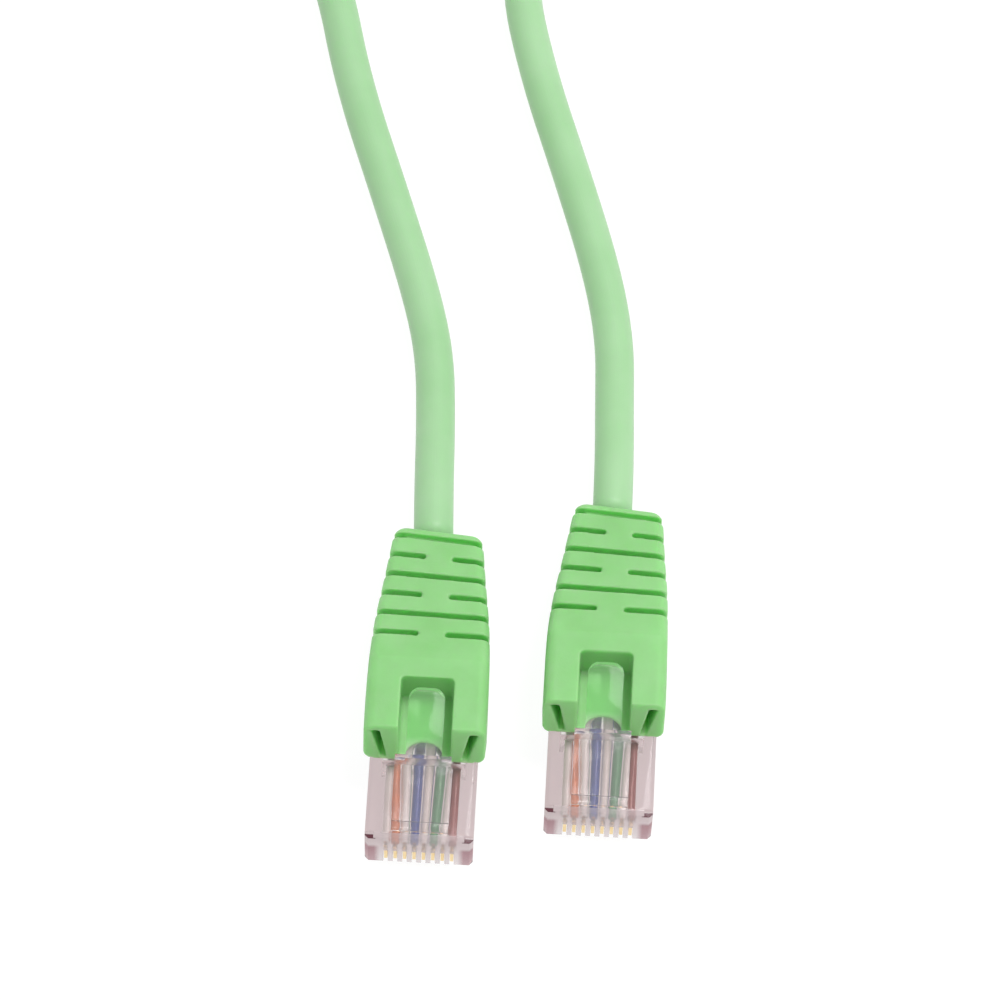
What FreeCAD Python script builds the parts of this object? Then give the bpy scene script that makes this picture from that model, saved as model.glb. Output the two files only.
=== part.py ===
import FreeCAD, Part
import math
import os

# Ethernet patch cable: two 8P8C plugs with moulded boots, joined by one round jacketed cord.
# Frame: +Z up, +Y from the plugs' noses towards the cord, latches on top. The origin is on the surface that
# the cable lies on, under the middle of the two plugs. Each plug is drawn with its nose at local Y = 0.
V = FreeCAD.Vector

# Plug
PLUG_WIDTH = 11.68
PLUG_LENGTH = 21.46
PLUG_HEIGHT = 6.60
PLUG_FLOOR = 0.75            # the boot's wall under the plug
PLUG_TOP = PLUG_FLOOR + PLUG_HEIGHT
PLUG_EDGE = 0.4
WIRE_COUNT = 8
WIRE_PITCH = 1.016
WIRE_WIDTH = 0.90            # over the insulation
CORE_WIDTH = 0.42
ROW_Z = PLUG_FLOOR + 3.5     # height of the row of wires
ROW_FRONT = 1.3
ROW_BACK = 10.2
ROW_BAY = 0.98               # height of the bay that the row lies in
SPREAD_START = 13.0          # the wires leave the jacket's round bundle here
SPREAD_END = 11.4
BUNDLE_RADIUS = 1.25
BUNDLE_BACK = 17.0
CAVITY_FRONT = 9.4
CAVITY_WIDTH = 9.0
CAVITY_HEIGHT = 5.1
BUNDLE_ANGLES = (22.5, 67.5, 112.5, 157.5)
OVER = 1.0                   # how far a cutting shape runs past the surface that it opens

# Contacts
BLADE_THICK = 0.36
BLADE_GAP = 0.05
BLADE_FRONT = 0.25
BLADE_BACK = 4.3
BLADE_RISE = 0.3             # the blade's edge stands this far inside the plug's lower face
BLADE_HEEL = 0.35
BLADE_BACK_RISE = 0.5
BLADE_CLEAR = 0.05           # under the insulation
TOOTH_WIDTH = 0.5
TOOTH_FRONT = BLADE_FRONT + 1.4
TOOTH_BACK = BLADE_BACK - 0.3

# Latch
LATCH_AXIS_Y = 1.25
LATCH_AXIS_Z = PLUG_TOP + 0.25
LATCH_KNUCKLE = 0.55
LATCH_WIDTH = 6.1
LATCH_SHOULDER = 8.2
LATCH_TAIL = 3.9
LATCH_TIP_Y = 15.85
LATCH_TIP_Z = 11.7
LATCH_THICK = 1.05
LATCH_STEP = 0.7             # how far the locking shoulders stand above the tail
LATCH_SKIRT = 0.1            # the front's underside lies this far below the axis
LATCH_LAND = 1.3             # length of the shoulders' flat top
LATCH_RAMP = 1.2             # where the ramp up to the shoulders starts, behind the axis
LATCH_TAIL_CORNER = 1.2
LATCH_GAP = 0.06
NOTCH_WIDTH = 0.95           # the notches at the nose's upper corners
NOTCH_DEPTH = 0.6

# Boot
BOOT_FRONT = 9.2             # the hood's lowest front edge
BOOT_REAR = 37.9
BOOT_UNDER = 14.2            # the boot's underside starts this far back
BOOT_LEAN = 1.3              # the hood's front face leans back by this
LIP_BACK = 0.5               # the hood's lower front edge, behind and below its foremost line
LIP_DROP = 0.85
HOOD_TOP = 12.6
HOOD_END = 19.0
REAR_TOP = 7.3
BOOT_HALF_WIDTHS = (
    (9.0, 6.55),
    (12.0, 6.6),
    (20.0, 6.5),
    (25.5, 6.15),
    (30.0, 5.65),
    (35.0, 5.15),
    (38.3, 4.8),
)
BOOT_EDGE = 1.1
REAR_CORNER = 1.5
SWAY_START = 20.0            # a boot's tail bends sideways from here
TAIL_TURN = 5.5              # degrees that the tail's end is turned by
TAIL_TURN_X = -3.6           # the point of the rear edge that it turns about
SLOT_WIDTH = 5.7
SLOT_END = 16.7
SLOT_CORNER = 0.5
SLOT_FLOOR = 0.5             # thickness of the boot between the plug and the latch's tail
SLOT_ARCH = 1.9              # the floor's front edge is an arch of this radius
POCKET_END = 15.0
POCKET_FOOT = (4.05, 4.7)    # the slit's two sides at its foot and at its head, from the middle
POCKET_HEAD = (4.85, 5.8)
POCKET_FLOOR = 0.25
POCKET_ROOF = 0.9
GROOVE_WIDTH = 0.7
GROOVE_FIRST = 22.45
GROOVE_PITCH = 2.75
GROOVE_COUNT = 6
GROOVE_DEPTH = 1.4
GROOVE_LOW = 0.9             # the grooves' depth in the underside
GROOVE_OVER_CORD = 6.75      # above the cord they go no deeper than this
BRIDGE = 2.9                 # left standing across every second groove
BRIDGE_SWAY = 0.4            # the bridges bend sideways by this more than the tail's outline

# Strain bar
BAR_WIDTH = 6.0
BAR_FRONT = 14.6
BAR_BACK = 16.6
BAR_BITE = 0.4
BAR_SLOPE = 0.7
BAR_FRONT_DROP = 0.5
BAR_BACK_DROP = 0.3

# Cord
JACKET = 4.4
BORE = 3.5
JACKET_Z = 3.9
JACKET_FRONT = 14.0
JACKET_BEND = 27.6           # inside the boot, where a cord that leaves at a slant turns

# Where the two plugs lie, and how far each boot's tail and its cord are bent to the side
PLUG_SPACING = 19.1
PLUG_STAGGER = 4.25
NOSE_A = (-PLUG_SPACING / 2, -(BOOT_REAR + PLUG_STAGGER) / 2)
NOSE_B = (PLUG_SPACING / 2, NOSE_A[1] + PLUG_STAGGER)
TAIL_SWAY_A = 0.0
TAIL_SWAY_B = 0.65
CORD_SWAY_A = -0.55
CORD_SWAY_B = 0.0
EXIT_A = (NOSE_A[0] + CORD_SWAY_A, NOSE_A[1] + BOOT_REAR, JACKET_Z)
EXIT_B = (NOSE_B[0] + CORD_SWAY_B, NOSE_B[1] + BOOT_REAR, JACKET_Z)
STRAIGHT = 6.0               # each cord leaves its boot straight for this far
SLANT_A = CORD_SWAY_A / (BOOT_REAR - JACKET_BEND)

# The hank: a racetrack of strands two wide and two high, in line with the plugs
CORD_LENGTH = 1000.0
STRAND = JACKET + 0.05       # from one strand to the next
LAID = JACKET / 2 + 0.05     # height of a strand that lies on the surface
HANK_X = -15.0
HANK_NEAR = 128.5            # where the near fold starts
HANK_RUN = 55.3
FOLD_RADIUS = 3 * JACKET + STRAND / 2
HANK_HALF = STRAND / 2 + JACKET / 2
TWIST_HALF = STRAND / 2 * math.sqrt(2) + JACKET / 2
OUTER = FOLD_RADIUS + STRAND / 2
FOLD_LAP = 0.1
TIE_WIDTH = 4.0
TIE_THICK = 0.5
TWIST_WIDTH = 1.6
TWIST_LENGTH = 7.0
TWIST_START = 1.0            # from the middle of the band
TWIST_SINK = 0.1
TWIST_ROOT = 0.6

ROUTE_A = (
    EXIT_A,
    (EXIT_A[0] + STRAIGHT * SLANT_A, EXIT_A[1] + STRAIGHT, JACKET_Z),
    (-10.75, 33.0, 2.4),
    (-11.35, 41.6, LAID),
    (-13.35, 49.7, LAID),
    (-17.4, 61.8, LAID),
    (-22.9, 77.6, LAID),
    (-26.1, 91.5, LAID),
    (-31.0, 104.0, LAID),
    (HANK_X - OUTER, 116.5, LAID),
    (HANK_X - OUTER, HANK_NEAR, LAID),
)
ROUTE_B = (
    EXIT_B,
    (EXIT_B[0], EXIT_B[1] + STRAIGHT, JACKET_Z),
    (9.25, 36.3, 2.4),
    (8.96, 44.8, LAID),
    (7.05, 54.1, LAID),
    (3.0, 67.0, LAID),
    (-1.2, 79.5, LAID),
    (-4.4, 92.5, LAID),
    (-3.4, 102.0, LAID),
    (0.9, 112.0, LAID),
    (HANK_X + OUTER, 121.5, LAID),
    (HANK_X + OUTER, HANK_NEAR, LAID),
)


def box(x0, x1, y0, y1, z0, z1):
    return Part.makeBox(x1 - x0, y1 - y0, z1 - z0, V(x0, y0, z0))


def side_prism(points, half_width):
    """A profile in the YZ plane, extruded across X."""
    ring = [V(-half_width, y, z) for y, z in points]
    face = Part.Face(Part.makePolygon(ring + ring[:1]))
    return face.extrude(V(2 * half_width, 0, 0))


def front_prism(points, y0, y1):
    """A profile in the XZ plane, extruded along Y."""
    ring = [V(x, y0, z) for x, z in points]
    face = Part.Face(Part.makePolygon(ring + ring[:1]))
    return face.extrude(V(0, y1 - y0, 0))


def rounded_path(points):
    """Straight runs joined by tangent arcs, each arc as large as its two runs allow."""
    points = [V(*p) for p in points]
    edges = []
    radii = []
    start = points[0]
    for before, corner, after in zip(points, points[1:], points[2:]):
        back = (before - corner).normalize()
        ahead = (after - corner).normalize()
        half_turn = (math.pi - back.getAngle(ahead)) / 2
        cut = 0.45 * min((before - corner).Length, (after - corner).Length)
        radius = cut / math.tan(half_turn)
        middle_way = (back + ahead).normalize()
        middle = corner + middle_way * (radius / math.cos(half_turn) - radius)
        first = corner + back * cut
        last = corner + ahead * cut
        edges.append(Part.LineSegment(start, first).toShape())
        edges.append(Part.Arc(first, middle, last).toShape())
        radii.append(radius)
        start = last
    edges.append(Part.LineSegment(start, points[-1]).toShape())
    return Part.Wire(edges), radii


def tube(points, radius):
    """A round solid along a rounded path."""
    path, radii = rounded_path(points)
    direction = V(*points[1]) - V(*points[0])
    section = Part.Wire([Part.makeCircle(radius, V(*points[0]), direction)])
    return path.makePipeShell([section], True, False), path.Length, radii


def wire_route(index):
    """From the jacket's round bundle to the wire's place in the flat row."""
    x = (index - (WIRE_COUNT - 1) / 2) * WIRE_PITCH
    column = index // 2
    angle = math.radians(BUNDLE_ANGLES[column])
    side = 1 if index % 2 == 0 else -1
    start_x = -BUNDLE_RADIUS * math.cos(angle)
    start_z = JACKET_Z + side * BUNDLE_RADIUS * math.sin(angle)
    return (
        (start_x, BUNDLE_BACK, start_z),
        (start_x, SPREAD_START, start_z),
        (x, SPREAD_END, start_z),
        (x, ROW_BACK, ROW_Z),
        (x, ROW_FRONT, ROW_Z),
    )


def blade(index):
    """A contact: a thin plate with a rounded heel and two teeth that reach the copper."""
    x = (index - (WIRE_COUNT - 1) / 2) * WIRE_PITCH
    low = PLUG_FLOOR + BLADE_RISE
    shoulder = ROW_Z - WIRE_WIDTH / 2 - BLADE_CLEAR
    tip = ROW_Z - CORE_WIDTH / 2
    profile = (
        (BLADE_FRONT + BLADE_HEEL, low),
        (BLADE_BACK, low + BLADE_BACK_RISE),
        (BLADE_BACK, shoulder),
        (TOOTH_BACK, shoulder),
        (TOOTH_BACK - TOOTH_WIDTH / 2, tip),
        (TOOTH_BACK - TOOTH_WIDTH, shoulder),
        (TOOTH_FRONT + TOOTH_WIDTH, shoulder),
        (TOOTH_FRONT + TOOTH_WIDTH / 2, tip),
        (TOOTH_FRONT, shoulder),
        (BLADE_FRONT, shoulder),
        (BLADE_FRONT, low + BLADE_HEEL),
    )
    plate = side_prism(profile, BLADE_THICK / 2)
    plate.translate(V(x, 0, 0))
    return plate


def blade_slot(index):
    x = (index - (WIRE_COUNT - 1) / 2) * WIRE_PITCH
    half = BLADE_THICK / 2 + BLADE_GAP
    return box(x - half, x + half, -OVER, BLADE_BACK + BLADE_GAP, -OVER, ROW_Z - ROW_BAY / 2)


def strain_bar():
    """The wedge of the housing's underside that is pressed down on the jacket."""
    bite = JACKET_Z - JACKET / 2 + BAR_BITE
    profile = (
        (BAR_FRONT, PLUG_FLOOR),
        (BAR_BACK, PLUG_FLOOR),
        (BAR_BACK, bite - BAR_BACK_DROP),
        (BAR_BACK - BAR_SLOPE, bite),
        (BAR_FRONT, bite - BAR_FRONT_DROP),
    )
    return side_prism(profile, BAR_WIDTH / 2)


def plug_housing():
    half = PLUG_WIDTH / 2
    body = box(-half, half, 0, PLUG_LENGTH, PLUG_FLOOR, PLUG_TOP)
    long_edges = [e for e in body.Edges if abs(e.tangentAt(e.FirstParameter).y) > 0.9]
    front_edges = [e for e in body.Edges if e.BoundBox.YMax < 0.01]
    body = body.makeChamfer(PLUG_EDGE, long_edges + front_edges)
    cavity = box(-CAVITY_WIDTH / 2, CAVITY_WIDTH / 2, CAVITY_FRONT, PLUG_LENGTH + OVER,
                 JACKET_Z - CAVITY_HEIGHT / 2, JACKET_Z + CAVITY_HEIGHT / 2)
    bay_half = WIRE_COUNT * WIRE_PITCH / 2
    bay = box(-bay_half, bay_half, ROW_FRONT - 2 * BLADE_GAP, CAVITY_FRONT + OVER,
              ROW_Z - ROW_BAY / 2, ROW_Z + ROW_BAY / 2)
    window = box(-BAR_WIDTH / 2, BAR_WIDTH / 2, BAR_FRONT, BAR_BACK, -OVER, JACKET_Z)
    hinge_seat = Part.makeCylinder(LATCH_KNUCKLE + LATCH_GAP, LATCH_WIDTH + 2 * LATCH_GAP,
                                   V(-LATCH_WIDTH / 2 - LATCH_GAP, LATCH_AXIS_Y, LATCH_AXIS_Z), V(1, 0, 0))
    hollows = [cavity, bay, window, hinge_seat, nose_notch(-1), nose_notch(1)]
    return body.cut(hollows + [blade_slot(i) for i in range(WIRE_COUNT)])


def nose_notch(side):
    """The small step at each upper corner of the nose."""
    outer = side * (PLUG_WIDTH / 2 + OVER)
    inner = side * (PLUG_WIDTH / 2 - NOTCH_WIDTH)
    left = min(inner, outer)
    right = max(inner, outer)
    return box(left, right, -OVER, NOTCH_DEPTH, PLUG_TOP - NOTCH_DEPTH, PLUG_TOP + OVER)


def latch():
    """The locking tongue: a wide front with two shoulders, and a narrow tail that a finger presses."""
    slope = (LATCH_TIP_Z - LATCH_THICK - LATCH_AXIS_Z) / (LATCH_TIP_Y - LATCH_AXIS_Y)
    shoulder_low = LATCH_AXIS_Z + slope * (LATCH_SHOULDER - LATCH_AXIS_Y)
    shoulder_high = shoulder_low + LATCH_THICK + LATCH_STEP
    skirt = LATCH_AXIS_Z - LATCH_SKIRT
    strip = side_prism((
        (LATCH_AXIS_Y, skirt),
        (LATCH_TIP_Y, LATCH_TIP_Z - LATCH_THICK),
        (LATCH_TIP_Y, LATCH_TIP_Z),
        (LATCH_AXIS_Y, LATCH_AXIS_Z + LATCH_KNUCKLE),
    ), LATCH_TAIL / 2)
    tail_edges = [e for e in strip.Edges
                  if e.BoundBox.YMin > LATCH_TIP_Y - 0.01 and e.BoundBox.XLength < 0.01]
    strip = strip.makeFillet(LATCH_TAIL_CORNER, tail_edges)
    front = side_prism((
        (LATCH_AXIS_Y, skirt),
        (LATCH_SHOULDER, shoulder_low),
        (LATCH_SHOULDER, shoulder_high),
        (LATCH_SHOULDER - LATCH_LAND, shoulder_high),
        (LATCH_AXIS_Y + LATCH_RAMP, LATCH_AXIS_Z + LATCH_THICK),
        (LATCH_AXIS_Y, LATCH_AXIS_Z + LATCH_KNUCKLE),
    ), LATCH_WIDTH / 2)
    knuckle = Part.makeCylinder(LATCH_KNUCKLE, LATCH_WIDTH,
                                V(-LATCH_WIDTH / 2, LATCH_AXIS_Y, LATCH_AXIS_Z), V(1, 0, 0))
    return strip.fuse([front, knuckle]).removeSplitter()


def boot_outline(sway):
    """The boot seen from above, full height; its tail bends sideways by the sway."""
    middles = [sway * bend_share(y) for y, w in BOOT_HALF_WIDTHS]
    right = [V(m + w, y, 0) for m, (y, w) in zip(middles, BOOT_HALF_WIDTHS)]
    left = [V(m - w, y, 0) for m, (y, w) in zip(middles, BOOT_HALF_WIDTHS)]
    right_side = Part.BSplineCurve()
    right_side.interpolate(right)
    left_side = Part.BSplineCurve()
    left_side.interpolate(left)
    wire = Part.Wire([
        right_side.toShape(),
        Part.LineSegment(right[-1], left[-1]).toShape(),
        left_side.toShape(),
        Part.LineSegment(left[0], right[0]).toShape(),
    ])
    return Part.Face(wire).extrude(V(0, 0, HOOD_TOP + OVER))


def boot_profile():
    """The boot seen from the side, full width."""
    return side_prism((
        (BOOT_UNDER, 0),
        (BOOT_REAR, 0),
        (BOOT_REAR, REAR_TOP),
        (HOOD_END, HOOD_TOP),
        (BOOT_FRONT + BOOT_LEAN, HOOD_TOP),
        (BOOT_FRONT, PLUG_TOP),
        (BOOT_FRONT + LIP_BACK, PLUG_TOP - LIP_DROP),
    ), PLUG_WIDTH)


def bend_share(y):
    """How much of the tail's bend is reached at this distance from the nose."""
    return max(0, y - SWAY_START) / (BOOT_REAR - SWAY_START)


def turned_tail(shape, x, y):
    """The shape turned as the bent tail is at this distance from the nose."""
    return shape.rotate(V(x, y, 0), V(0, 0, 1), -TAIL_TURN * bend_share(y))


def half_width_at(y):
    for (near, first), (far, last) in zip(BOOT_HALF_WIDTHS, BOOT_HALF_WIDTHS[1:]):
        if y <= far:
            return first + (last - first) * (y - near) / (far - near)


def boot_blank(sway):
    beyond = box(-PLUG_WIDTH, PLUG_WIDTH, BOOT_REAR, BOOT_REAR + PLUG_WIDTH, -OVER, HOOD_TOP)
    turned_tail(beyond, TAIL_TURN_X, BOOT_REAR)
    blank = boot_outline(sway).common(boot_profile()).cut(beyond)
    corners = [e for e in blank.Edges if e.BoundBox.YMin > BOOT_REAR - OVER and e.BoundBox.ZLength > OVER]
    blank = blank.makeFillet(REAR_CORNER, corners)
    sides = [e for e in blank.Edges if e.BoundBox.YLength > 2 and e.BoundBox.XMax * e.BoundBox.XMin > 0]
    return blank.makeFillet(BOOT_EDGE, sides)


def hood_slot():
    """The U-shaped opening over the latch's tail, open to the front, with a thin floor over the plug."""
    half = SLOT_WIDTH / 2
    opening = box(-half, half, 0, SLOT_END, PLUG_TOP + SLOT_FLOOR, HOOD_TOP + OVER)
    corners = [e for e in opening.Edges if e.BoundBox.YMin > SLOT_END - 0.01 and e.BoundBox.XLength < 0.01]
    arch = Part.makeCylinder(SLOT_ARCH, SLOT_FLOOR + OVER, V(0, BOOT_FRONT, PLUG_TOP), V(0, 0, 1))
    return opening.makeFillet(SLOT_CORNER, corners).fuse(arch)


def hood_pocket(side):
    """A slanted slit in the hood's front face, between its outer skin and the block beside the latch."""
    foot = PLUG_TOP + POCKET_FLOOR
    roof = HOOD_TOP - POCKET_ROOF
    profile = (
        (side * POCKET_FOOT[0], foot),
        (side * POCKET_FOOT[1], foot),
        (side * POCKET_HEAD[1], roof),
        (side * POCKET_HEAD[0], roof),
    )
    return front_prism(profile, BOOT_FRONT - OVER, POCKET_END)


def groove(index, sway):
    """One groove round the boot's tail; every second one leaves a bridge in the middle, above and below."""
    y = GROOVE_FIRST + index * GROOVE_PITCH
    slope = (HOOD_TOP - REAR_TOP) / (BOOT_REAR - HOOD_END)
    top = REAR_TOP + slope * (BOOT_REAR - y) - GROOVE_DEPTH
    half = half_width_at(y) - GROOVE_DEPTH
    middle = sway * bend_share(y)
    ring = box(-PLUG_WIDTH, PLUG_WIDTH, y - GROOVE_WIDTH / 2, y + GROOVE_WIDTH / 2, -OVER, HOOD_TOP + OVER)
    ring = ring.cut(box(middle - half, middle + half, y - OVER, y + OVER,
                        GROOVE_LOW, max(top, GROOVE_OVER_CORD)))
    if index % 2 == 0:
        x = (sway + BRIDGE_SWAY) * bend_share(y)
        ring = ring.cut(box(x - BRIDGE / 2, x + BRIDGE / 2, y - OVER, y + OVER, -OVER, HOOD_TOP + OVER))
    return turned_tail(ring, middle, y)


def cord_in_boot(sway, radius):
    """The cord's part from inside the plug to the boot's rear."""
    middle = [(0, JACKET_BEND, JACKET_Z)] if sway else []
    return tube([(0, JACKET_FRONT, JACKET_Z)] + middle + [(sway, BOOT_REAR, JACKET_Z)], radius)[0]


def boot_bore(sway):
    """The hole that the cord fills, carried on past the boot's rear."""
    direction = V(sway, BOOT_REAR - JACKET_BEND, 0)
    mouth = Part.makeCylinder(JACKET / 2, OVER, V(sway, BOOT_REAR, JACKET_Z), direction)
    return [cord_in_boot(sway, JACKET / 2), mouth]


def boot(tail_sway, cord_sway):
    socket = box(-PLUG_WIDTH / 2, PLUG_WIDTH / 2, 0, PLUG_LENGTH, PLUG_FLOOR, PLUG_TOP)
    cuts = [socket, hood_slot(), hood_pocket(1), hood_pocket(-1)]
    cuts += boot_bore(cord_sway)
    cuts += [groove(i, tail_sway) for i in range(GROOVE_COUNT)]
    return boot_blank(tail_sway).cut(cuts)


def jacket_end(cord_sway):
    sleeve = cord_in_boot(cord_sway, JACKET / 2)
    return sleeve.cut([cord_in_boot(cord_sway, BORE / 2), strain_bar()])


def half_ring(inner, outer, z0, z1, y, turn):
    """Half of a flat ring round the end of the hank's racetrack; turn is the side of y that it lies on."""
    ring = Part.makeCylinder(outer, z1 - z0, V(HANK_X, y, z0)).cut(
        Part.makeCylinder(inner, z1 - z0, V(HANK_X, y, z0)))
    reach = 2 * outer
    keep = box(HANK_X - reach, HANK_X + reach, min(y, y + turn * reach), max(y, y + turn * reach), z0, z1)
    return ring.common(keep)


def hank():
    """The folded cord's outer shape: one ring, with room for the two ends to come in on the outside."""
    low = LAID - JACKET / 2
    high = low + 2 * HANK_HALF
    far = HANK_NEAR + HANK_RUN
    inner = FOLD_RADIUS - HANK_HALF
    outer = FOLD_RADIUS + HANK_HALF
    runs = [box(HANK_X + s * FOLD_RADIUS - HANK_HALF, HANK_X + s * FOLD_RADIUS + HANK_HALF,
                HANK_NEAR, far, low, high) for s in (-1, 1)]
    near_inner = half_ring(inner, FOLD_RADIUS, low, high, HANK_NEAR, -1)
    near_outer = half_ring(FOLD_RADIUS - FOLD_LAP, outer, low + STRAND, high, HANK_NEAR, -1)
    far_fold = half_ring(FOLD_RADIUS - TWIST_HALF, FOLD_RADIUS + TWIST_HALF,
                         low, low + 2 * TWIST_HALF, far, 1)
    solid = runs[0].fuse([runs[1], near_inner, near_outer, far_fold]).removeSplitter()
    return solid.cut(tie_band())


def tie_band():
    """A flat band round one run of the hank, let into the strands by its own thickness."""
    x = HANK_X - FOLD_RADIUS
    y = HANK_NEAR + HANK_RUN / 2
    low = LAID - JACKET / 2
    high = low + 2 * HANK_HALF
    outside = box(x - HANK_HALF, x + HANK_HALF, y - TIE_WIDTH / 2, y + TIE_WIDTH / 2, low, high)
    inside = box(x - HANK_HALF + TIE_THICK, x + HANK_HALF - TIE_THICK, y - TIE_WIDTH, y + TIE_WIDTH,
                 low + TIE_THICK, high - TIE_THICK)
    return outside.cut(inside)


def cable_tie():
    x = HANK_X - FOLD_RADIUS
    y = HANK_NEAR + HANK_RUN / 2
    top = LAID - JACKET / 2 + 2 * HANK_HALF
    twist = Part.makeCylinder(TWIST_WIDTH / 2, TWIST_LENGTH,
                              V(x - TWIST_START, y, top + TWIST_WIDTH / 2 - TWIST_SINK), V(1, 0, 0))
    root = box(x - TWIST_START, x + TWIST_START, y - TWIST_ROOT, y + TWIST_ROOT,
               top - TIE_THICK, top + TWIST_WIDTH / 2)
    return tie_band().fuse([twist, root]).removeSplitter()


def save(shape, name):
    solids = shape.Solids
    print(f"{name}: {len(solids)} solid(s), {shape.Volume:.1f} mm3, valid {shape.isValid()}")
    shape.exportStep(f"parts/{name}.step")


def save_end(end, nose, tail_sway, cord_sway):
    """All the pieces of one plug, moved to its nose."""
    def place(shape, name):
        shape = shape.copy()
        shape.translate(V(nose[0], nose[1], 0))
        save(shape, f"{name}_{end}")

    cores = []
    place(plug_housing(), "plug_housing")
    place(latch(), "latch")
    place(strain_bar(), "strain_bar")
    place(boot(tail_sway, cord_sway), "boot")
    place(jacket_end(cord_sway), "jacket_end")
    for index in range(WIRE_COUNT):
        contact = blade(index)
        core = tube(wire_route(index), CORE_WIDTH / 2)[0].cut(contact)
        insulated = tube(wire_route(index), WIRE_WIDTH / 2)[0]
        cores.append(core)
        place(contact, f"contact_{index + 1}")
        place(insulated.cut([core, contact]), f"wire_{index + 1}")
    place(Part.makeCompound(cores), "copper_cores")


def save_run(route, name):
    """A stretch of the cord, from the boot to the hank; returns its length."""
    shape, length, radii = tube(route, JACKET / 2)
    expected = math.pi * (JACKET / 2) ** 2 * length
    print(f"{name}: length {length:.1f} mm, volume / (section x length) {shape.Volume / expected:.4f}")
    print(f"{name}: radii in diameters {[round(r / JACKET, 1) for r in radii]}")
    save(shape, name)
    return length


os.makedirs("parts", exist_ok=True)
save_end("a", NOSE_A, TAIL_SWAY_A, CORD_SWAY_A)
save_end("b", NOSE_B, TAIL_SWAY_B, CORD_SWAY_B)
run_length = save_run(ROUTE_A, "cable_run_a") + save_run(ROUTE_B, "cable_run_b")
save(hank(), "cable_hank")
save(cable_tie(), "cable_tie")
folds = math.pi * (2 * (FOLD_RADIUS - STRAND / 2) + OUTER + 4 * FOLD_RADIUS)
print(f"cord from boot to boot: {run_length + folds + 8 * HANK_RUN:.0f} mm, wanted {CORD_LENGTH:.0f} mm")
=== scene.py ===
import bmesh
import bpy
import math
from mathutils import Matrix, Vector


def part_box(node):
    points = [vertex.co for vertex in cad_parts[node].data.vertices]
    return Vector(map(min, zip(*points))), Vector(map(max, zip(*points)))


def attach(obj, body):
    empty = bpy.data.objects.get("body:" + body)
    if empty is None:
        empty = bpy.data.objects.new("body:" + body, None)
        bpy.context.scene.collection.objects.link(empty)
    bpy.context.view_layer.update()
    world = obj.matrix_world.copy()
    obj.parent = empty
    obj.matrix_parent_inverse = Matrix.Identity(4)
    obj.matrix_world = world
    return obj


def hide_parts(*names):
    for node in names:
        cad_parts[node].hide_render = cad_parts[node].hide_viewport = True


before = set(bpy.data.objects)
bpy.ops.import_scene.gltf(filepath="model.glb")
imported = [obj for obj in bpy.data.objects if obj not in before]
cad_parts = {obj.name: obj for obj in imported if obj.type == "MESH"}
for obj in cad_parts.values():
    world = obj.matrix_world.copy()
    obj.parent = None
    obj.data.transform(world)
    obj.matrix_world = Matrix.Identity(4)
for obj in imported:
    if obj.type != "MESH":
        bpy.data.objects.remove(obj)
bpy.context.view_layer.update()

# Everything is in metres, in the CAD frame: +Z up, noses towards -Y, plug a on the left.
ENDS = ("a", "b")
NOSE = {"a": (-0.00955, -0.021075), "b": (0.00955, -0.016825)}  # the middle of each nose's front, X and Y

JACKET_WIDTH = 0.0044
JACKET_SIDES = 28
LAID = 0.00225                  # the height of the middle of a cord that lies on the floor

# The hank: strands two wide and two high round a racetrack behind the plugs.
STRAND = 0.00445                # from the middle of one strand to the middle of the next
HANK_X = -0.015                 # midway between the straight runs
HANK_NEAR = 0.1285              # where the straight runs begin, on the plugs' side
HANK_RUN = 0.0553               # how long they are
FOLD_RADIUS = 3 * JACKET_WIDTH + STRAND / 2
OUTER = FOLD_RADIUS + STRAND / 2
TURNS = 4
FOLD_STEPS = 8
RUN_SHARES = (0.36, 0.64)       # how far along each straight run its points are

TIE_THICK = 0.0005
TIE_WIDTH = 0.004
TIE_CORNER_STEPS = 6
TIE_SNUG = 0.55                 # the band's middle stands this many thicknesses off the strands
# The band's ribs: places from one edge (-1) to the other (1), and the share of the full thickness there.
TIE_RIBS = ((-1, 0.4), (-0.85, 1), (-0.25, 0.7), (0, 1.15), (0.25, 0.7), (0.85, 1), (1, 0.4))

# The colour inputs and output of a Mix node that mixes colours.
MIX_GROUND, MIX_COLOUR, MIX_RESULT = 6, 7, 2

# The cord's stretches from each boot to the hank. The last point of each is where it reaches the hank's
# straight run; the whole cord's line leaves it out and goes on to the run's own first point.
ROUTE_A = (
    (-0.0101, 0.016825, 0.0039),
    (-0.0104204, 0.022825, 0.0039),
    (-0.01075, 0.0330, 0.0024),
    (-0.01135, 0.0416, LAID),
    (-0.01335, 0.0497, LAID),
    (-0.0174, 0.0618, LAID),
    (-0.0229, 0.0776, LAID),
    (-0.0261, 0.0915, LAID),
    (-0.0310, 0.1040, LAID),
    (HANK_X - OUTER, 0.1165, LAID),
    (HANK_X - OUTER, HANK_NEAR, LAID),
)
ROUTE_B = (
    (0.00955, 0.021075, 0.0039),
    (0.00955, 0.027075, 0.0039),
    (0.00925, 0.0363, 0.0024),
    (0.00896, 0.0448, LAID),
    (0.00705, 0.0541, LAID),
    (0.0030, 0.0670, LAID),
    (-0.0012, 0.0795, LAID),
    (-0.0044, 0.0925, LAID),
    (-0.0034, 0.1020, LAID),
    (0.0009, 0.1120, LAID),
    (HANK_X + OUTER, 0.1215, LAID),
    (HANK_X + OUTER, HANK_NEAR, LAID),
)


def new_object(name, data):
    made = bpy.data.objects.new(name, data)
    bpy.context.scene.collection.objects.link(made)
    return made


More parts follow.
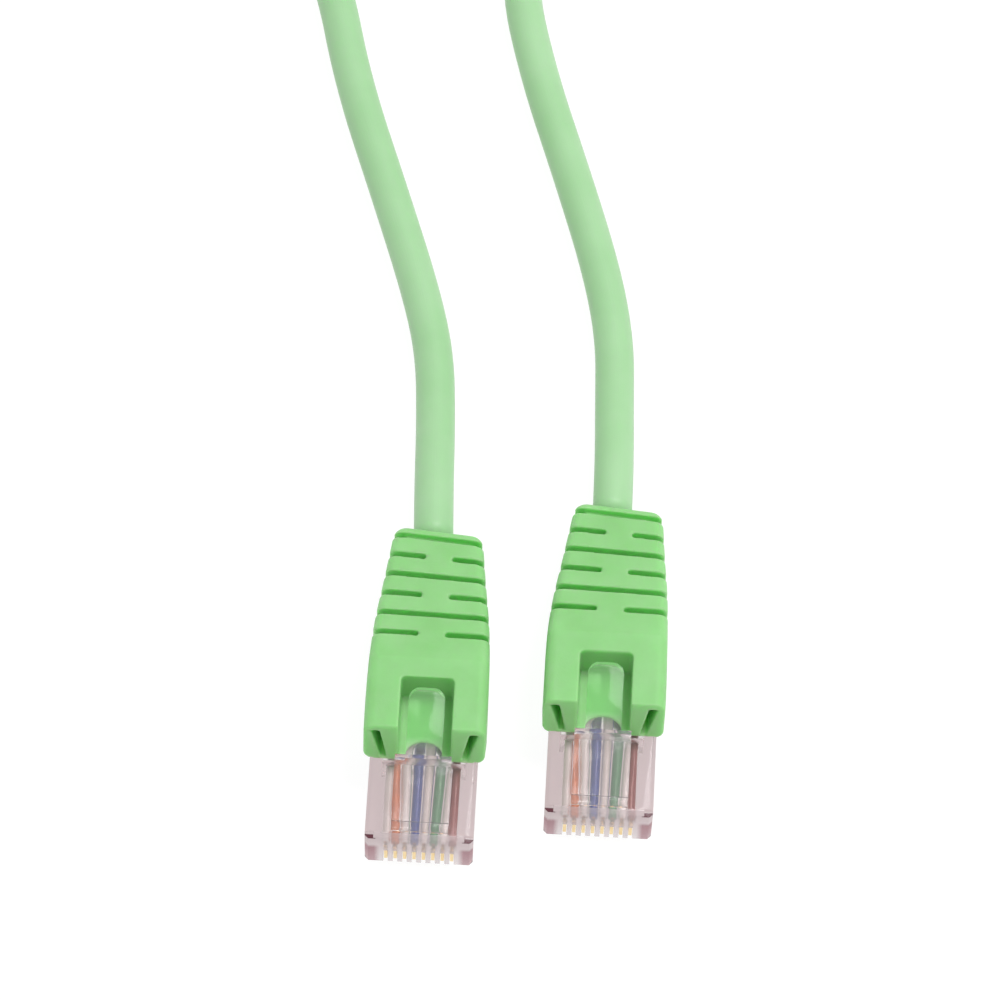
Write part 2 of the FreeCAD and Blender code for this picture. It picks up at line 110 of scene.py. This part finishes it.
def make_camera():
    """A long lens above and in front of the noses, turned and rolled a little."""
    target = Vector((-0.00305, 0.02465, 0))
    elevation = math.radians(61.3)
    azimuth = math.radians(0.95)
    roll = math.radians(2.25)
    distance = 0.6
    back = Vector((math.sin(azimuth) * math.cos(elevation), -math.cos(azimuth) * math.cos(elevation),
                   math.sin(elevation)))
    camera = bpy.data.cameras.new("camera")
    camera.sensor_width = 36
    camera.lens = 192.5
    camera.clip_start = 0.01
    camera.clip_end = 20
    seen_by = new_object("camera", camera)
    turn = back.to_track_quat("Z", "Y").to_matrix().to_4x4()
    seen_by.matrix_world = Matrix.Translation(target + back * distance) @ turn @ Matrix.Rotation(roll, 4, "Z")
    bpy.context.scene.camera = seen_by


# ---- the cord ----

def strand_point(x, y, outward, place, lift=0.0):
    """A strand's point: the bundle's middle, and the strand's place round it as an angle."""
    reach = STRAND / math.sqrt(2)
    side = reach * math.cos(place)
    height = LAID + STRAND / 2 + lift + reach * math.sin(place)
    return (x + outward[0] * side, y + outward[1] * side, height)


def fold_points(end, first_place, twist):
    """A half turn of the hank. At the far end the bundle twists by a quarter, so each strand moves on."""
    points = []
    middle_y = HANK_NEAR + HANK_RUN if end > 0 else HANK_NEAR
    step = math.pi / FOLD_STEPS
    for i in range(FOLD_STEPS + 1):
        turned = i * step
        outward = (-end * math.cos(turned), end * math.sin(turned))
        done = twist * i / FOLD_STEPS
        lift = STRAND / math.sqrt(2) * math.cos(math.pi / 4 - abs(done)) - STRAND / 2
        place = first_place + done
        reach = FOLD_RADIUS / math.cos(step / 2)
        points.append(strand_point(HANK_X + reach * outward[0], middle_y + reach * outward[1],
                                   outward, place, lift))
    return points


def run_points(side, place, heading):
    """A straight run of the hank; the tie lifts the left one by its own thickness."""
    points = []
    for share in RUN_SHARES:
        along = share if heading > 0 else 1 - share
        lift = TIE_THICK if side < 0 else 0
        points.append(strand_point(HANK_X + side * FOLD_RADIUS, HANK_NEAR + HANK_RUN * along,
                                   (side, 0), place, lift))
    return points


def hank_points():
    """The put-away length: up the left side and down the right, once for each strand of the bundle."""
    points = []
    place = -math.pi / 4
    for turn in range(TURNS):
        points += run_points(-1, place, 1)
        points += fold_points(1, place, -math.pi / 2)
        place -= math.pi / 2
        points += run_points(1, place, -1)
        if turn < TURNS - 1:
            points += fold_points(-1, place, 0)
    return points


def cord_line(points):
    """The points of the smooth line that the cord follows."""
    data = bpy.data.curves.new("cord_line", "CURVE")
    data.dimensions = "3D"
    spline = data.splines.new("NURBS")
    spline.points.add(len(points) - 1)
    for target, point in zip(spline.points, points):
        target.co = (*point, 1)
    spline.order_u = 3
    spline.use_endpoint_u = True
    spline.resolution_u = 8
    line = new_object("cord_line", data)
    bpy.context.view_layer.update()
    mesh = bpy.data.meshes.new_from_object(line)
    places = [v.co.copy() for v in mesh.vertices]
    bpy.data.objects.remove(line)
    bpy.data.meshes.remove(mesh)
    return places


def tube_mesh(name, line, radius, sides):
    """A round tube along a line, with its length and its way round as UVs."""
    mesh = bmesh.new()
    uv = mesh.loops.layers.uv.new("UVMap")
    across = Vector((1, 0, 0))
    rings = []
    lengths = [0.0]
    for i, place in enumerate(line):
        ahead = (line[min(i + 1, len(line) - 1)] - line[max(i - 1, 0)]).normalized()
        across = (across - ahead * across.dot(ahead)).normalized()
        up = ahead.cross(across)
        rings.append([mesh.verts.new(place + radius * (across * math.cos(a) + up * math.sin(a)))
                      for a in (2 * math.pi * k / sides for k in range(sides))])
        if i:
            lengths.append(lengths[-1] + (place - line[i - 1]).length)
    for i in range(len(rings) - 1):
        for k in range(sides):
            n = (k + 1) % sides
            face = mesh.faces.new((rings[i][k], rings[i][n], rings[i + 1][n], rings[i + 1][k]))
            face.smooth = True
            corners = ((i, k), (i, k + 1), (i + 1, k + 1), (i + 1, k))
            for loop, (row, column) in zip(face.loops, corners):
                loop[uv].uv = (lengths[row], column / sides)
    mesh.faces.new(list(reversed(rings[0])))
    mesh.faces.new(rings[-1])
    bmesh.ops.recalc_face_normals(mesh, faces=mesh.faces)
    data = bpy.data.meshes.new(name)
    mesh.to_mesh(data)
    mesh.free()
    return new_object(name, data)


def make_cord(tie):
    """The whole cord from boot to boot, round its hank; the tie passed in is not used."""
    line = cord_line(list(ROUTE_A[:-1]) + hank_points() + list(reversed(ROUTE_B[:-1])))
    cord = tube_mesh("cord", line, JACKET_WIDTH / 2, JACKET_SIDES)
    cord.data.materials.append(jacket_material())
    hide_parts("cable_run_a", "cable_run_b", "cable_hank")
    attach(cord, "root")


# ---- pieces made from the CAD shapes ----

def evaluated(source, name):
    """The object's mesh with its modifiers applied, as a new object."""
    bpy.context.view_layer.update()
    graph = bpy.context.evaluated_depsgraph_get()
    data = bpy.data.meshes.new_from_object(source.evaluated_get(graph), depsgraph=graph)
    data.name = name
    return new_object(name, data)


def working_copy(node):
    """A copy of a CAD node's mesh to work on; the node itself stays as it is."""
    copy = new_object(node + "_work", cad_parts[node].data.copy())
    copy.data.materials.clear()
    return copy


def moulded(node, name, voxel, passes):
    """A CAD piece as it leaves a mould: the same shape, with every edge a little rounded."""
    work = working_copy(node)
    remesh = work.modifiers.new("remesh", "REMESH")
    remesh.mode = "VOXEL"
    remesh.voxel_size = voxel
    smooth = work.modifiers.new("smooth", "SMOOTH")
    smooth.factor = 0.5
    smooth.iterations = passes
    made = evaluated(work, name)
    made.data.polygons.foreach_set("use_smooth", [True] * len(made.data.polygons))
    bpy.data.objects.remove(work)
    return made


def bevelled(node, name, width):
    """A CAD piece with a small round on each sharp edge."""
    work = working_copy(node)
    mesh = bmesh.new()
    mesh.from_mesh(work.data)
    bmesh.ops.remove_doubles(mesh, verts=mesh.verts, dist=2e-6)
    bmesh.ops.dissolve_limit(mesh, angle_limit=math.radians(1), verts=mesh.verts, edges=mesh.edges)
    mesh.to_mesh(work.data)
    mesh.free()
    bevel = work.modifiers.new("bevel", "BEVEL")
    bevel.width = width
    bevel.segments = 2
    bevel.limit_method = "ANGLE"
    bevel.angle_limit = math.radians(35)
    made = evaluated(work, name)
    made.data.polygons.foreach_set("use_smooth", [True] * len(made.data.polygons))
    made.data.set_sharp_from_angle(angle=math.radians(40))
    bpy.data.objects.remove(work)
    return made


def stand_for(piece, node, body, material):
    """Give a piece its material and put it in the place of a CAD node, on that node's body."""
    piece.data.materials.clear()
    piece.data.materials.append(material)
    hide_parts(node)
    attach(piece, body)


def make_boots():
    """The boots, remeshed finely enough that their edges come out rounded."""
    material = boot_material()
    for end in ENDS:
        boot = moulded("boot_" + end, "moulded_boot_" + end, voxel=0.00015, passes=6)
        stand_for(boot, "boot_" + end, "root", material)


def make_plugs():
    """The housings and latches, bevelled, and the strain bars, which keep their CAD shapes."""
    bar_plastic = clear_material("bar_polycarbonate", haze=0.05, density=130)
    for end in ENDS:
        # The housing's frosting paints shade on the nose; the latch's paints the boot's green light on its
        # tail.
        plastic = clear_material("housing_polycarbonate_" + end, haze=0.06, density=130,
                                 frosting_and_painted_light=frosted_nose_with_painted_shade, nose=NOSE[end])
        latch_plastic = clear_material("latch_polycarbonate_" + end, haze=0.04, density=25,
                                       frosting_and_painted_light=frosted_tail_with_painted_green, nose=NOSE[end])
        housing = bevelled("plug_housing_" + end, "clear_housing_" + end, width=0.00012)
        stand_for(housing, "plug_housing_" + end, "root", plastic)
        latch = bevelled("latch_" + end, "clear_latch_" + end, width=0.00018)
        stand_for(latch, "latch_" + end, "latch_" + end, latch_plastic)
        repaint("strain_bar_" + end, bar_plastic)


def repaint(node, material):
    """A CAD piece that stays, with a better material."""
    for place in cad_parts[node].material_slots:
        place.material = material


def repaint_inner_pieces():
    """The wires, contacts, cores and jacket ends, which keep their CAD shapes."""
    gold = gold_material()
    copper = copper_material()
    jacket = jacket_material()
    for end in ENDS:
        repaint("copper_cores_" + end, copper)
        repaint("jacket_end_" + end, jacket)
    for i, (name, colour, striped) in enumerate(INSULATION):
        material = insulation_material(name, colour, striped)
        for end in ENDS:
            repaint(f"wire_{i + 1}_{end}", material)
            repaint(f"contact_{i + 1}_{end}", gold)


def make_tie():
    """A plastic-covered wire tie: a band round the left run, its two ends twisted together."""
    low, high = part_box("cable_tie")
    middle_y = (low.y + high.y) / 2
    x = HANK_X - FOLD_RADIUS
    half = STRAND / 2 + JACKET_WIDTH / 2 + TIE_THICK * TIE_SNUG
    floor = TIE_THICK / 2
    corner = JACKET_WIDTH / 2
    outline = []
    centres = ((half - corner, half - corner, 0), (corner - half, half - corner, 90),
               (corner - half, corner - half, 180), (half - corner, corner - half, 270))
    for cx, cz, start in centres:
        for k in range(TIE_CORNER_STEPS + 1):
            angle = math.radians(start + 90 / TIE_CORNER_STEPS * k)
            outline.append((cx + corner * math.cos(angle), cz + corner * math.sin(angle)))
    mesh = bmesh.new()
    rows = []
    for across, thick in TIE_RIBS:
        inner, outer = [], []
        for px, pz in outline:
            out = Vector((px, 0, pz)).normalized() * TIE_THICK / 2 * thick
            base = Vector((x + px, middle_y + across * TIE_WIDTH / 2, floor + half + pz))
            inner.append(mesh.verts.new(base - out))
            outer.append(mesh.verts.new(base + out))
        rows.append((inner, outer))
    count = len(outline)
    for (inner_a, outer_a), (inner_b, outer_b) in zip(rows, rows[1:]):
        for k in range(count):
            n = (k + 1) % count
            mesh.faces.new((outer_a[k], outer_a[n], outer_b[n], outer_b[k]))
            mesh.faces.new((inner_b[k], inner_b[n], inner_a[n], inner_a[k]))
    for inner, outer in (rows[0], rows[-1]):
        for k in range(count):
            n = (k + 1) % count
            mesh.faces.new((inner[k], inner[n], outer[n], outer[k]))
    top = floor + 2 * half + TIE_THICK / 2
    ends_start = Vector((x - 0.001, middle_y, top))
    add_twisted_ends(mesh, ends_start, length=0.0075)
    bmesh.ops.recalc_face_normals(mesh, faces=mesh.faces)
    for face in mesh.faces:
        face.smooth = True
    data = bpy.data.meshes.new("wire_tie")
    mesh.to_mesh(data)
    mesh.free()
    tie = new_object("wire_tie", data)
    stand_for(tie, "cable_tie", "root", tie_material())
    return tie


def add_twisted_ends(mesh, start, length):
    """Two narrow strips wound round each other, lying on top of the band."""
    turns = 3.5
    steps = 60
    half_width = 0.0007
    half_thick = 0.00018
    apart = 0.00035
    flare = 0.0012
    flare_from = 0.8
    height = 0.0008
    for phase in (0, math.pi):
        rings = []
        for i in range(steps + 1):
            t = i / steps
            angle = phase + turns * 2 * math.pi * t
            spread = apart + flare * max(0, t - flare_from)
            centre = start + Vector((length * t, spread * math.cos(angle), height + spread * math.sin(angle)))
            wide = Vector((0, -math.sin(angle), math.cos(angle)))
            thin = Vector((0, math.cos(angle), math.sin(angle)))
            rings.append([mesh.verts.new(centre + wide * half_width * a + thin * half_thick * b)
                          for a, b in ((-1, -1), (1, -1), (1, 1), (-1, 1))])
        for first, second in zip(rings, rings[1:]):
            for k in range(4):
                n = (k + 1) % 4
                mesh.faces.new((first[k], first[n], second[n], second[k]))
        mesh.faces.new(list(reversed(rings[0])))
        mesh.faces.new(rings[-1])


# ---- materials ----

ORANGE = (0.62, 0.17, 0.04)
GREEN = (0.07, 0.28, 0.12)
BLUE = (0.02, 0.06, 0.30)
BROWN = (0.30, 0.11, 0.10)

# The wires 1 to 8: each pair has a wire in its colour and a white one with a line of it.
INSULATION = (
    ("white_orange", ORANGE, True),
    ("orange", ORANGE, False),
    ("white_green", GREEN, True),
    ("blue", BLUE, False),
    ("white_blue", BLUE, True),
    ("green", GREEN, False),
    ("white_brown", BROWN, True),
    ("brown", BROWN, False),
)


def new_material(name):
    """A material with its nodes, its links and its shader."""
    material = bpy.data.materials.new(name)
    material.use_nodes = True
    nodes = material.node_tree.nodes
    return material, nodes, material.node_tree.links, nodes["Principled BSDF"]


def add_node(nodes, kind, **values):
    """A node with its inputs set by name and its properties by attribute."""
    node = nodes.new(kind)
    for key, value in values.items():
        if key in node.inputs:
            node.inputs[key].default_value = value
        else:
            setattr(node, key, value)
    return node


def noise(nodes, links, scale, detail=3.0, stretch=(1, 1, 1), source="Object"):
    """A noise fixed to the piece, with roughly scale patches to the metre."""
    place = add_node(nodes, "ShaderNodeTexCoord")
    mapping = add_node(nodes, "ShaderNodeMapping", Scale=stretch)
    made = add_node(nodes, "ShaderNodeTexNoise", Scale=scale, Detail=detail)
    links.new(place.outputs[source], mapping.inputs["Vector"])
    links.new(mapping.outputs["Vector"], made.inputs["Vector"])
    return made


def between(nodes, links, factor, low, high, from_min=0.3, from_max=0.7):
    """A colour that runs from low to high with a factor."""
    ramp = add_node(nodes, "ShaderNodeValToRGB")
    ramp.color_ramp.elements[0].position = from_min
    ramp.color_ramp.elements[1].position = from_max
    ramp.color_ramp.elements[0].color = (*low, 1)
    ramp.color_ramp.elements[1].color = (*high, 1)
    links.new(factor, ramp.inputs["Fac"])
    return ramp.outputs["Color"]


def level(nodes, links, factor, low, high):
    """A number that runs from low to high with a factor."""
    reach = add_node(nodes, "ShaderNodeMapRange")
    reach.inputs["To Min"].default_value = low
    reach.inputs["To Max"].default_value = high
    links.new(factor, reach.inputs["Value"])
    return reach.outputs["Result"]


def bump(nodes, links, height, distance, strength):
    """A slight unevenness, distance high; the shape itself is in the mesh."""
    made = add_node(nodes, "ShaderNodeBump", Strength=strength, Distance=distance)
    links.new(height, made.inputs["Height"])
    return made.outputs["Normal"]


def boot_material():
    """Soft injection-moulded PVC: satin, slightly translucent, with a fine spark-eroded grain."""
    material, nodes, links, shader = new_material("boot_pvc")
    cloud = noise(nodes, links, scale=260, detail=4)
    colour = between(nodes, links, cloud.outputs["Fac"], (0.275, 0.62, 0.225), (0.315, 0.66, 0.265))
    links.new(colour, shader.inputs["Base Color"])
    grain = noise(nodes, links, scale=5200, detail=2)
    links.new(level(nodes, links, grain.outputs["Fac"], 0.40, 0.58), shader.inputs["Roughness"])
    links.new(bump(nodes, links, grain.outputs["Fac"], distance=0.00002, strength=0.5),
              shader.inputs["Normal"])
    shader.inputs["Subsurface Weight"].default_value = 0.7
    shader.inputs["Subsurface Radius"].default_value = (0.35, 1.0, 0.3)
    shader.inputs["Subsurface Scale"].default_value = 0.003
    shader.inputs["Specular IOR Level"].default_value = 0.4
    return material


def jacket_material():
    """Extruded PVC with fine draw lines along it."""
    material, nodes, links, shader = new_material("jacket_pvc")
    cloud = noise(nodes, links, scale=120, detail=4)
    colour = between(nodes, links, cloud.outputs["Fac"], (0.365, 0.655, 0.335), (0.415, 0.695, 0.385))
    links.new(colour, shader.inputs["Base Color"])
    lines = noise(nodes, links, scale=30, detail=2, stretch=(4, 3, 1), source="UV")
    links.new(level(nodes, links, lines.outputs["Fac"], 0.36, 0.52), shader.inputs["Roughness"])
    links.new(bump(nodes, links, lines.outputs["Fac"], distance=0.00003, strength=0.4),
              shader.inputs["Normal"])
    shader.inputs["Sheen Weight"].default_value = 0.15
    shader.inputs["Sheen Roughness"].default_value = 0.35
    shader.inputs["Subsurface Weight"].default_value = 0.2
    shader.inputs["Subsurface Radius"].default_value = (0.4, 1.0, 0.35)
    shader.inputs["Subsurface Scale"].default_value = 0.001
    shader.inputs["Specular IOR Level"].default_value = 0.4
    return material


def clear_material(name, haze, density, frosting_and_painted_light=None, nose=None):
    """Clear polycarbonate: faint flow marks, a polish that isn't perfect, a little haze and a slight tint.

    Light on its way to a lamp or from a matt surface passes straight through, so what is inside is lit. A
    frosting function, made for the nose at the given place, changes the colour and the haze over part of the
    surface, and paints light and shade there: painted shade on the nose, painted green light from the boot on
    the tail.
    """
    material, nodes, links, shader = new_material(name)
    flow = noise(nodes, links, scale=420, stretch=(1, 0.35, 1))
    colour = between(nodes, links, flow.outputs["Fac"], (0.95, 0.94, 0.94), (1.0, 0.99, 0.99))
    shader.inputs["Transmission Weight"].default_value = 1.0 - haze
    # The frosting adds painted light and shade to part of the surface.
    if frosting_and_painted_light is not None:
        colour = frosting_and_painted_light(nodes, links, shader, colour, haze, nose)
    links.new(colour, shader.inputs["Base Color"])
    links.new(level(nodes, links, flow.outputs["Fac"], 0.04, 0.12), shader.inputs["Roughness"])
    links.new(bump(nodes, links, flow.outputs["Fac"], distance=0.00004, strength=0.25),
              shader.inputs["Normal"])
    shader.inputs["IOR"].default_value = 1.2
    rays = add_node(nodes, "ShaderNodeLightPath")
    either = maths(nodes, links, "MAXIMUM", rays.outputs["Is Shadow Ray"], rays.outputs["Is Diffuse Ray"])
    through = add_node(nodes, "ShaderNodeBsdfTransparent")
    choice = add_node(nodes, "ShaderNodeMixShader")
    links.new(either, choice.inputs[0])
    links.new(shader.outputs["BSDF"], choice.inputs[1])
    links.new(through.outputs["BSDF"], choice.inputs[2])
    links.new(choice.outputs["Shader"], nodes["Material Output"].inputs["Surface"])
    tint = add_node(nodes, "ShaderNodeVolumeAbsorption")
    tint.inputs["Color"].default_value = (0.5, 0.3, 0.32, 1)
    tint.inputs["Density"].default_value = density
    links.new(tint.outputs["Volume"], nodes["Material Output"].inputs["Volume"])
    return material


def rise(nodes, links, value, start, stop):
    """0 up to start, 1 past stop, and an even rise between; start may be the larger."""
    made = add_node(nodes, "ShaderNodeMapRange")
    made.inputs["From Min"].default_value = start
    made.inputs["From Max"].default_value = stop
    links.new(value, made.inputs["Value"])
    return made.outputs["Result"]


def maths(nodes, links, operation, first, second):
    """The result of an operation on two values, each a float or a socket."""
    made = add_node(nodes, "ShaderNodeMath", operation=operation)
    for socket, value in zip(made.inputs, (first, second)):
        if isinstance(value, float):
            socket.default_value = value
        else:
            links.new(value, socket)
    return made.outputs["Value"]


def mixed(nodes, links, factor, ground, colour):
    """The ground where the factor is 0, and the colour, a tuple or a socket, where it is 1."""
    made = add_node(nodes, "ShaderNodeMix", data_type="RGBA")
    if isinstance(colour, tuple):
        made.inputs[MIX_COLOUR].default_value = (*colour, 1)
    else:
        links.new(colour, made.inputs[MIX_COLOUR])
    links.new(factor, made.inputs["Factor"])
    links.new(ground, made.inputs[MIX_GROUND])
    return made.outputs[MIX_RESULT]


def place_on(nodes, links):
    """Where a point of the surface is, as outputs named X, Y and Z."""
    place = add_node(nodes, "ShaderNodeTexCoord")
    apart = add_node(nodes, "ShaderNodeSeparateXYZ")
    links.new(place.outputs["Object"], apart.inputs["Vector"])
    return apart.outputs


def frosted_nose_with_painted_shade(nodes, links, shader, colour, haze, nose):
    """The nose's front is frosted and pinker, with painted shade at its lower corners and painted shadow in
    its steps.
    """
    face_colour = (0.80, 0.73, 0.74)
    # Painted shade, dark pink, for the lower corners of the front, where the nose comes down near the floor.
    corner_painted_shade = (0.38, 0.19, 0.22)
    # Painted shadow, near black, for the small steps at the top corners of the nose's front.
    step_painted_shadow = (0.08, 0.02, 0.03)
    face_transmission = 0.6

    place = place_on(nodes, links)
    nose_x, nose_y = nose
    aside = maths(nodes, links, "ABSOLUTE", maths(nodes, links, "SUBTRACT", place["X"], nose_x), 0.0)
    front = rise(nodes, links, place["Y"], nose_y + 0.00055, nose_y + 0.0004)

    # Where the painted shade at the lower corners goes.
    outer = rise(nodes, links, aside, 0.0042, 0.0048)
    low = rise(nodes, links, place["Z"], 0.0052, 0.0045)
    corner = maths(nodes, links, "MULTIPLY", maths(nodes, links, "MULTIPLY", outer, low), front)

    # Where the painted shadow in the steps goes.
    edge = rise(nodes, links, aside, 0.0046, 0.0047)
    above = rise(nodes, links, place["Z"], 0.0066, 0.0067)
    below = rise(nodes, links, place["Z"], 0.0069, 0.0068)
    step = maths(nodes, links, "MULTIPLY", maths(nodes, links, "MULTIPLY", edge, above), below)
    step = maths(nodes, links, "MULTIPLY", step, front)

    links.new(level(nodes, links, front, 1.0 - haze, face_transmission),
              shader.inputs["Transmission Weight"])
    colour = mixed(nodes, links, front, colour, face_colour)
    # The painted shade at the lower corners.
    colour = mixed(nodes, links, corner, colour, corner_painted_shade)
    # The painted shadow in the steps.
    return mixed(nodes, links, step, colour, step_painted_shadow)


def frosted_tail_with_painted_green(nodes, links, shader, colour, haze, nose):
    """The latch's tail is frosted where a finger presses it, and painted green for the boot's light coming up
    through it.
    """
    # Painted green light: the boot's colour as it shows through the clear tail.
    tail_painted_green = (0.5, 0.84, 0.46)
    tail_transmission = 0.82
    tail_start, tail_full = 0.0094, 0.0106      # behind the nose

    place = place_on(nodes, links)
    tail = rise(nodes, links, place["Y"], nose[1] + tail_start, nose[1] + tail_full)
    links.new(level(nodes, links, tail, 1.0 - haze, tail_transmission),
              shader.inputs["Transmission Weight"])
    # The painted green light over the tail.
    return mixed(nodes, links, tail, colour, tail_painted_green)


def gold_material():
    material, nodes, links, shader = new_material("gold_plate")
    cloud = noise(nodes, links, scale=900)
    links.new(between(nodes, links, cloud.outputs["Fac"], (0.80, 0.60, 0.30), (0.90, 0.72, 0.42)),
              shader.inputs["Base Color"])
    links.new(level(nodes, links, cloud.outputs["Fac"], 0.25, 0.4), shader.inputs["Roughness"])
    shader.inputs["Metallic"].default_value = 1.0
    return material


def copper_material():
    material, nodes, links, shader = new_material("bare_copper")
    cloud = noise(nodes, links, scale=1200)
    links.new(between(nodes, links, cloud.outputs["Fac"], (0.66, 0.30, 0.17), (0.80, 0.42, 0.26)),
              shader.inputs["Base Color"])
    links.new(level(nodes, links, cloud.outputs["Fac"], 0.22, 0.42), shader.inputs["Roughness"])
    shader.inputs["Metallic"].default_value = 1.0
    return material


def insulation_material(name, colour, striped):
    """Polyolefin insulation; a striped wire is white, with a line of its pair's colour along one side."""
    material, nodes, links, shader = new_material("insulation_" + name)
    cloud = noise(nodes, links, scale=700)
    lighter = 1.25
    light = tuple(min(1, c * lighter) for c in colour)
    paint = between(nodes, links, cloud.outputs["Fac"], colour, light)
    if striped:
        white = between(nodes, links, cloud.outputs["Fac"], (0.80, 0.77, 0.73), (0.88, 0.86, 0.83))
        paint = side_line(nodes, links, white, paint)
    links.new(paint, shader.inputs["Base Color"])
    links.new(level(nodes, links, cloud.outputs["Fac"], 0.25, 0.4), shader.inputs["Roughness"])
    links.new(bump(nodes, links, cloud.outputs["Fac"], distance=0.00002, strength=0.3),
              shader.inputs["Normal"])
    return material


def side_line(nodes, links, ground, line):
    """The ground colour, with a line where the surface faces its right side."""
    geometry = add_node(nodes, "ShaderNodeNewGeometry")
    facing = add_node(nodes, "ShaderNodeSeparateXYZ")
    links.new(geometry.outputs["Normal"], facing.inputs["Vector"])
    return mixed(nodes, links, rise(nodes, links, facing.outputs["X"], 0.84, 0.88), ground, line)


def tie_material():
    material, nodes, links, shader = new_material("tie_plastic")
    cloud = noise(nodes, links, scale=900)
    links.new(between(nodes, links, cloud.outputs["Fac"], (0.015, 0.015, 0.017), (0.035, 0.035, 0.038)),
              shader.inputs["Base Color"])
    links.new(level(nodes, links, cloud.outputs["Fac"], 0.3, 0.5), shader.inputs["Roughness"])
    return material


# ---- the setting ----

def make_floor():
    """A pale floor, lit so evenly that the part casts almost no shadow on it."""
    bpy.ops.mesh.primitive_plane_add(size=4)
    floor = bpy.context.object
    floor.name = "floor"
    material, nodes, links, shader = new_material("floor")
    shader.inputs["Base Color"].default_value = (0.12, 0.12, 0.12, 1)
    shader.inputs["Roughness"].default_value = 1.0
    shader.inputs["Specular IOR Level"].default_value = 0.0
    shader.inputs["Emission Color"].default_value = (1, 1, 1, 1)
    shader.inputs["Emission Strength"].default_value = 0.94
    floor.data.materials.append(material)


def add_area_light(name, place, size, power):
    """A square soft light that points at the plugs."""
    data = bpy.data.lights.new(name, "AREA")
    data.size = size
    data.energy = power
    light = new_object(name, data)
    light.location = place
    light.rotation_euler = (Vector((0, 0.02, 0)) - Vector(place)).to_track_quat("-Z", "Y").to_euler()


def make_lights():
    """An even white surrounding, and one lamp behind the plugs on their right."""
    world = bpy.data.worlds.new("studio")
    world.use_nodes = True
    background = world.node_tree.nodes["Background"]
    background.inputs["Color"].default_value = (1, 1, 1, 1)
    background.inputs["Strength"].default_value = 0.5
    bpy.context.scene.world = world
    add_area_light("key", place=(0.24, 0.1, 0.78), size=0.3, power=4.2)
    bpy.context.scene.view_settings.view_transform = "Standard"


make_camera()
make_cord(make_tie())
make_boots()
make_plugs()
repaint_inner_pieces()
make_floor()
make_lights()
